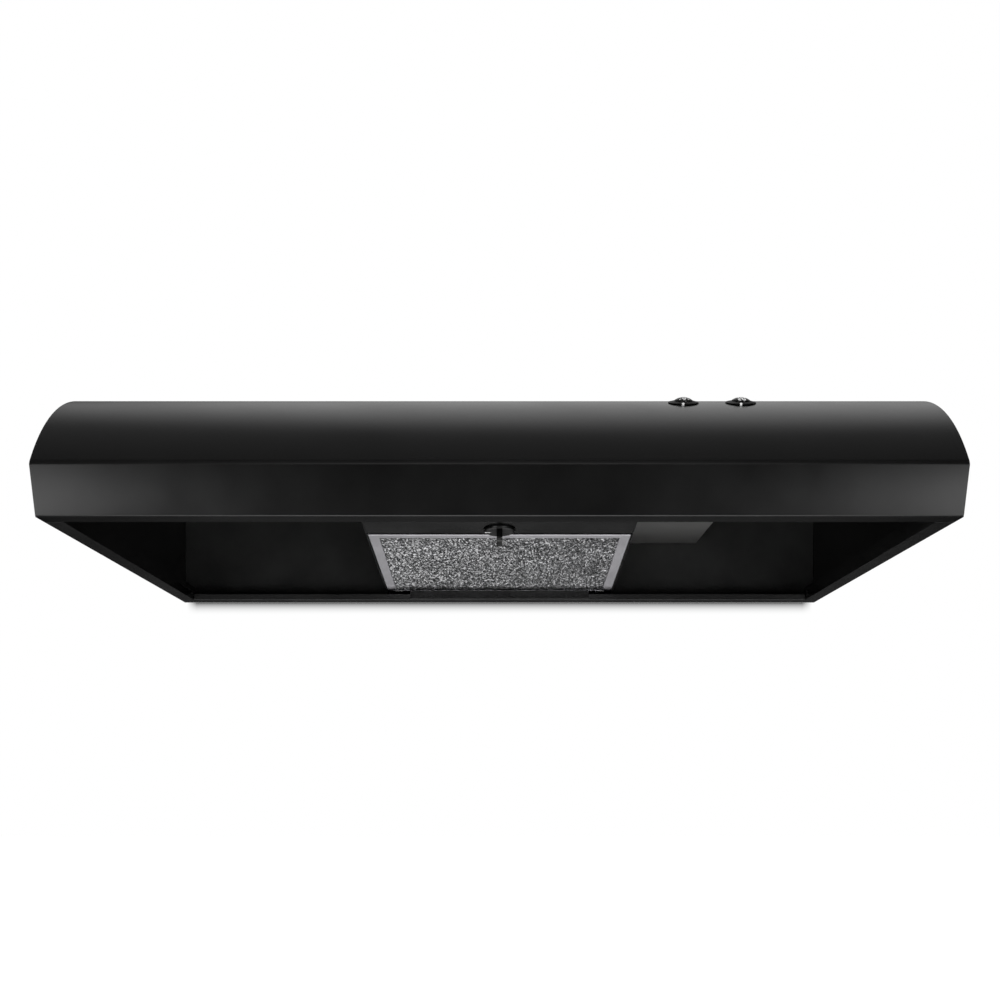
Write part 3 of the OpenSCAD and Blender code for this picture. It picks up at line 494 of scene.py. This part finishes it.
def crinkle(x, y, seed):
    """Height and sideways shift of a crumpled mesh layer at x, y, in millimetres."""
    wide = noise.noise(Vector((x * 0.09, y * 0.055, seed * 5.3)))
    tight = noise.noise(Vector((x * 0.6, y * 0.28, seed * 9.1)))
    height = CRINKLE * (0.9 * wide + 1.1 * tight)
    shift_x = 1.1 * noise.noise(Vector((x * 0.21, y * 0.13, seed * 3.7 + 40.0)))
    shift_y = 1.6 * noise.noise(Vector((x * 0.21, y * 0.13, seed * 3.7 + 80.0)))
    return Vector((shift_x, shift_y, height))


def strand_corners(start, end, tilt):
    """Eight corners of a flat strand from start to end, its flat side turned by tilt radians."""
    along = (end - start).normalized()
    side = along.cross(Vector((0.0, 0.0, 1.0))).normalized()
    up = side.cross(along)
    flat = (side * math.cos(tilt) + up * math.sin(tilt)) * STRAND_WIDTH / 2
    thick = (up * math.cos(tilt) - side * math.sin(tilt)) * STRAND_THICKNESS / 2
    return [point + a * flat + b * thick for point in (start, end) for a, b in CORNER_SIGNS]


def expanded_layer(height, seed, phase):
    """Corners and faces of one crumpled layer of expanded mesh, in the filter's own millimetres."""
    half = FILTER_HALF - FILTER_SKIN - MESH_INSET
    low_y = FILTER_FRONT + FILTER_SKIN + MESH_INSET
    high_y = FILTER_BACK - FILTER_SKIN - MESH_INSET
    columns = int(2 * half / (CELL_X / 2))
    rows = int((high_y - low_y) / (CELL_Y / 2))
    corners = []
    faces = []

    def knot(i, j):
        """The point where strands meet at column i and row j, kept inside the rim."""
        x = -half + (i + phase * 0.5) * CELL_X / 2
        y = low_y + (j + phase) * CELL_Y / 2
        place = Vector((x, y, height)) + crinkle(x, y, seed)
        place.x = max(-half, min(half, place.x))
        place.y = max(low_y, min(high_y, place.y))
        return place

    for i in range(columns):
        for j in range(rows):
            if (i + j) % 2:
                continue
            for step in (-1, 1):
                if not 0 <= j + step <= rows:
                    continue
                start = knot(i, j)
                end = knot(i + 1, j + step)
                if (end - start).length < SHORTEST_STRAND:
                    continue
                tilt = 0.5 * step + 1.6 * noise.noise(Vector((i * 0.93, j * 0.93, seed * 2.3 + step)))
                first = len(corners)
                corners += strand_corners(start, end, tilt)
                faces += [[first + c for c in side] for side in STRAND_SIDES]
    return corners, faces


def build_filter_mesh():
    """Crumpled layers of expanded aluminium mesh inside the rim, in place of the flat CAD mesh."""
    corners = []
    faces = []
    for height, seed, phase in MESH_LAYERS:
        layer_corners, layer_faces = expanded_layer(height, seed, phase)
        first = len(corners)
        corners += layer_corners
        faces += [[first + c for c in face] for face in layer_faces]
    mesh = bpy.data.meshes.new("filter_weave")
    mesh.from_pydata([FILTER_PLACE @ c for c in corners], [], faces)
    piece = new_object("filter_weave", mesh, "filter", foil)
    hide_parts("filter_mesh")


build_filter_mesh()


# ---------------------------------------------------------------- knobs and latch

LIGHT_KNOB_X = 161.2
FAN_KNOB_X = 211.5
KNOB_SLOPE = 24.0
KNOB_RADIUS = 7.7
KNOB_RIM = 2.6
KNOB_CROWN = 5.0
INK = 0.08
SYMBOL_PLACE = Vector((0.0, -3.4))
INDEX_PLACE = Vector((-1.8, -12.2, 0.6))
INDEX_RADIUS = 1.3
# Ends and width of the white line under the latch: a painted glint.
LATCH_GLINT_FROM = (-14.6, -252.5)
LATCH_GLINT_TO = (-9.0, -252.5)
LATCH_GLINT_WIDTH = 1.2
LATCH_FACE = -3.6


def knob_place(x):
    """Places a knob's local millimetres, square to the curved front, in the row frame in metres."""
    slope = math.radians(KNOB_SLOPE)
    y = ARC_Y - ARC_RADIUS * math.sin(slope)
    z = -ARC_RADIUS + ARC_RADIUS * math.cos(slope)
    return local_place((x, y, z), KNOB_SLOPE)


def dome_height(x, y):
    """Height of the knob's dome at x, y."""
    rise = KNOB_CROWN - KNOB_RIM
    radius = (KNOB_RADIUS ** 2 + rise ** 2) / (2 * rise)
    return KNOB_CROWN - radius + math.sqrt(radius ** 2 - x * x - y * y)


def bar_outline(start, end, width, steps=8):
    """A straight bar with square ends, cut into steps along its length, as rows of two points."""
    start, end = Vector(start), Vector(end)
    side = (end - start).normalized().orthogonal() * width / 2
    middles = [start.lerp(end, i / steps) for i in range(steps + 1)]
    return [(middle + side, middle - side) for middle in middles]


def spoke_at(angle):
    """A unit vector at an angle in degrees."""
    return Vector((math.cos(math.radians(angle)), math.sin(math.radians(angle))))


def arc_outline(middle, radius, first, last, width, steps=20):
    """Part of a ring from one angle to another, as rows of two points."""
    middle = Vector(middle)
    spokes = [spoke_at(first + (last - first) * i / steps) for i in range(steps + 1)]
    outer = radius + width / 2
    inner = radius - width / 2
    return [(middle + spoke * outer, middle + spoke * inner) for spoke in spokes]


def lamp_symbol():
    """A glowing bulb: a round bulb, its cap and short rays."""
    bands = [arc_outline((0, 0), 1.4, 0, 360, 1.0)]
    bands.append(bar_outline((-1.1, -2.7), (1.1, -2.7), 0.7))
    for angle in (-20, 35, 90, 145, 200):
        bands.append(bar_outline(spoke_at(angle) * 2.9, spoke_at(angle) * 4.6, 0.8))
    return bands


def fan_symbol():
    """A fan with four curved blades round a hub."""
    bands = [arc_outline((0, 0), 0.45, 0, 360, 0.9)]
    for turn in (45, 135, 225, 315):
        bands.append(arc_outline(spoke_at(turn) * 2.3, 1.2, turn - 175, turn + 75, 1.3))
    return bands


def ink_mesh(name, bands, place, height):
    """Printed bands laid on a surface whose height over x, y is given, as one thin mesh."""
    corners = []
    faces = []
    for rows in bands:
        first = len(corners)
        corners += [place @ Vector((p.x, p.y, height(p.x, p.y) + INK)) for row in rows for p in row]
        faces += [[first + i + c for c in (0, 1, 3, 2)] for i in range(0, 2 * len(rows) - 2, 2)]
    mesh = bpy.data.meshes.new(name)
    mesh.from_pydata(corners, [], faces)
    return mesh


def build_index(name, place):
    """A small white pip on the front of a bezel, which marks the knob's off position."""
    shape = bmesh.new()
    bmesh.ops.create_uvsphere(shape, u_segments=24, v_segments=12, radius=INDEX_RADIUS)
    bmesh.ops.transform(shape, matrix=place, verts=shape.verts)
    for face in shape.faces:
        face.smooth = True
    mesh = bpy.data.meshes.new(name)
    shape.to_mesh(mesh)
    shape.free()
    new_object(name, mesh, "hood", white_ink_painted_glow)


def build_knob_marks():
    """White symbols on the knobs' domes and a white pip on the front of each bezel, in ink with a painted
    glow.
    """
    for name, x, symbol in (("light", LIGHT_KNOB_X, lamp_symbol()), ("fan", FAN_KNOB_X, fan_symbol())):
        place = knob_place(x)
        lowered = [[(a + SYMBOL_PLACE, b + SYMBOL_PLACE) for a, b in rows] for rows in symbol]
        mesh = ink_mesh(name + "_symbol", lowered, place, dome_height)
        new_object(name + "_symbol", mesh, name + "_knob", white_ink_painted_glow)
        build_index(name + "_index", place @ Matrix.Translation(INDEX_PLACE))


def build_latch_glint_mark():
    """A short white line of glowing ink just below the latch's round face: a painted glint, which also shows
    which way the latch is turned.
    """
    line = bar_outline(LATCH_GLINT_FROM, LATCH_GLINT_TO, LATCH_GLINT_WIDTH)
    mesh = ink_mesh("latch_glint_mark", [line], FILTER_PLACE, lambda x, y: LATCH_FACE - 2 * INK)
    new_object("latch_glint_mark", mesh, "filter_latch", white_ink_painted_glow)


build_knob_marks()
build_latch_glint_mark()
round_edges(["knob_bezels", "light_knob", "fan_knob"], 0.0002)


# ---------------------------------------------------------------- studio

# Each light's name, direction, the angles from it where the light ends and where it is full, and radiance
SOFT_LIGHTS = [
    ("high behind", (0.08, 0.72, 0.70), 37.0, 1.0, 0.70),
    ("overhead", (0.0, 0.25, 0.97), 56.0, 1.0, 0.20),
    ("front left", (-0.524, -0.749, -0.405), 17.0, 6.0, 6.0),
    ("front right", (0.524, -0.749, -0.405), 17.0, 6.0, 5.6),
    ("high in front", (0.0, -0.80, 0.60), 30.0, 8.0, 1.2),
    ("below in front", (0.0, -0.40, -0.92), 27.0, 12.0, 2.4),
    ("below behind", (0.0, 0.50, -0.87), 35.0, 14.0, 2.2),
    ("low behind", (0.0, 0.98, -0.22), 26.0, 8.0, 0.05),
]
FADE_POWER = 1.4
AMBIENT = 0.002
BACKDROP = 1.0
FILL = 0.75
FILL_ANGLE = 40.0
FILL_DIRECTION = (0.47, -0.67, -0.57)
SHADOW_DEPTH = 16.0
SHADOW_INSET = 2.0
SHADOW_Y = 0.5
SHADOW_POWER = 2.2
SHADOW_STRENGTH = 0.93
SHADOW_END = 0.012


def build_world():
    """Soft lights painted on the sky, which the camera itself sees as a plain white backdrop."""
    world = bpy.data.worlds.new("studio")
    bpy.context.scene.world = world
    world.use_nodes = True
    tree = world.node_tree
    tree.nodes.clear()
    coordinates = tree.nodes.new("ShaderNodeTexCoord")
    total = AMBIENT
    for name, direction, edge, core, radiance in SOFT_LIGHTS:
        dot = add(tree, "ShaderNodeVectorMath", operation="DOT_PRODUCT", label=name)
        dot.inputs[1].default_value = Vector(direction).normalized()
        tree.links.new(coordinates.outputs["Generated"], dot.inputs[0])
        fade = tree.nodes.new("ShaderNodeMapRange")
        fade.interpolation_type = "SMOOTHSTEP"
        fade.inputs["From Min"].default_value = math.cos(math.radians(edge))
        fade.inputs["From Max"].default_value = math.cos(math.radians(core))
        tree.links.new(dot.outputs["Value"], fade.inputs["Value"])
        curve = compute(tree, "POWER", fade.outputs["Result"], FADE_POWER)
        total = compute(tree, "MULTIPLY_ADD", curve, radiance, total)
    light = tree.nodes.new("ShaderNodeBackground")
    tree.links.new(total, light.inputs["Strength"])
    white = add(tree, "ShaderNodeBackground", Strength=BACKDROP)
    white.inputs["Color"].default_value = (1.0, 1.0, 1.0, 1.0)
    rays = tree.nodes.new("ShaderNodeLightPath")
    mix = tree.nodes.new("ShaderNodeMixShader")
    output = tree.nodes.new("ShaderNodeOutputWorld")
    tree.links.new(rays.outputs["Is Camera Ray"], mix.inputs["Fac"])
    tree.links.new(light.outputs["Background"], mix.inputs[1])
    tree.links.new(white.outputs["Background"], mix.inputs[2])
    tree.links.new(mix.outputs["Shader"], output.inputs["Surface"])


def rectangle(name, corners, material):
    """A mesh of one face through four corners."""
    mesh = bpy.data.meshes.new(name)
    mesh.from_pydata(corners, [], [(0, 1, 2, 3)])
    mesh.materials.append(material)
    return mesh


def build_fill():
    """Two wide soft lights from below and in front, which fill the inside without a reflection."""
    across, ahead, up = FILL_DIRECTION
    for side in (-1, 1):
        data = bpy.data.lights.new("fill", "SUN")
        data.energy = FILL
        data.angle = math.radians(FILL_ANGLE)
        lamp = bpy.data.objects.new("fill", data)
        direction = Vector((side * across, ahead, up))
        lamp.rotation_euler = direction.to_track_quat("Z", "Y").to_euler()
        lamp.visible_glossy = False
        bpy.context.scene.collection.objects.link(lamp)


def build_floor():
    """A wide pale floor below the hood, which only the camera sees, so that it doesn't light the hood."""
    corners = [(x * FLOOR_HALF, y * FLOOR_HALF, FLOOR_Z) for x, y in CORNER_SIGNS]
    floor = bpy.data.objects.new("floor", rectangle("floor", corners, floor_material()))
    bpy.context.scene.collection.objects.link(floor)
    floor.visible_glossy = False
    floor.visible_diffuse = False


def shadow_material(half, top):
    """Black that fades out downwards and at the ends, and is clear from behind."""
    material, tree, output = new_material("wall_shadow")
    split = tree.nodes.new("ShaderNodeSeparateXYZ")
    tree.links.new(position(tree), split.inputs["Vector"])
    depth = remap(tree, split.outputs["Z"], (top - SHADOW_DEPTH) * MM, top * MM, 0.0, 1.0)
    dark = compute(tree, "POWER", depth, SHADOW_POWER)
    ends = compute(tree, "ABSOLUTE", split.outputs["X"])
    inside = remap(tree, ends, half * MM - SHADOW_END, half * MM, SHADOW_STRENGTH, 0.0)
    share = compute(tree, "MULTIPLY", dark, inside)
    face = tree.nodes.new("ShaderNodeNewGeometry")
    seen = compute(tree, "SUBTRACT", 1.0, face.outputs["Backfacing"])
    shown = compute(tree, "MULTIPLY", share, seen)
    clear = tree.nodes.new("ShaderNodeBsdfTransparent")
    black = tree.nodes.new("ShaderNodeEmission")
    black.inputs["Strength"].default_value = 0.0
    mix = tree.nodes.new("ShaderNodeMixShader")
    tree.links.new(shown, mix.inputs["Fac"])
    tree.links.new(clear.outputs["BSDF"], mix.inputs[1])
    tree.links.new(black.outputs["Emission"], mix.inputs[2])
    tree.links.new(mix.outputs["Shader"], output.inputs["Surface"])
    return material


def build_wall_shadow():
    """Soft contact shadow on a white wall below the rear edge, which shows from the front only."""
    half = HOOD_HALF - SHADOW_INSET
    top = BAND_FOOT[1]
    low = top - SHADOW_DEPTH
    corners = [(-half, SHADOW_Y, low), (half, SHADOW_Y, low), (half, SHADOW_Y, top), (-half, SHADOW_Y, top)]
    mesh = rectangle("wall_shadow", [Vector(c) * MM for c in corners], shadow_material(half, top))
    shadow = bpy.data.objects.new("wall_shadow", mesh)
    bpy.context.scene.collection.objects.link(shadow)
    shadow.visible_glossy = False
    shadow.visible_diffuse = False
    shadow.visible_shadow = False


def build_camera():
    """Level camera in front of and below the hood, with its frame shifted up as in the photograph."""
    data = bpy.data.cameras.new("camera")
    data.sensor_width = 36.0
    data.lens = CAMERA_LENS
    data.shift_x = SHIFT_X
    data.shift_y = SHIFT_Y
    data.clip_start = 0.01
    data.clip_end = 60.0
    camera = bpy.data.objects.new("camera", data)
    camera.location = CAMERA_PLACE
    camera.rotation_euler = (math.radians(90.0), 0.0, 0.0)
    bpy.context.scene.collection.objects.link(camera)
    bpy.context.scene.camera = camera


build_world()
build_fill()
build_floor()
build_wall_shadow()
build_camera()
bpy.context.scene.view_settings.view_transform = "Standard"
bpy.context.scene.view_settings.look = "None"
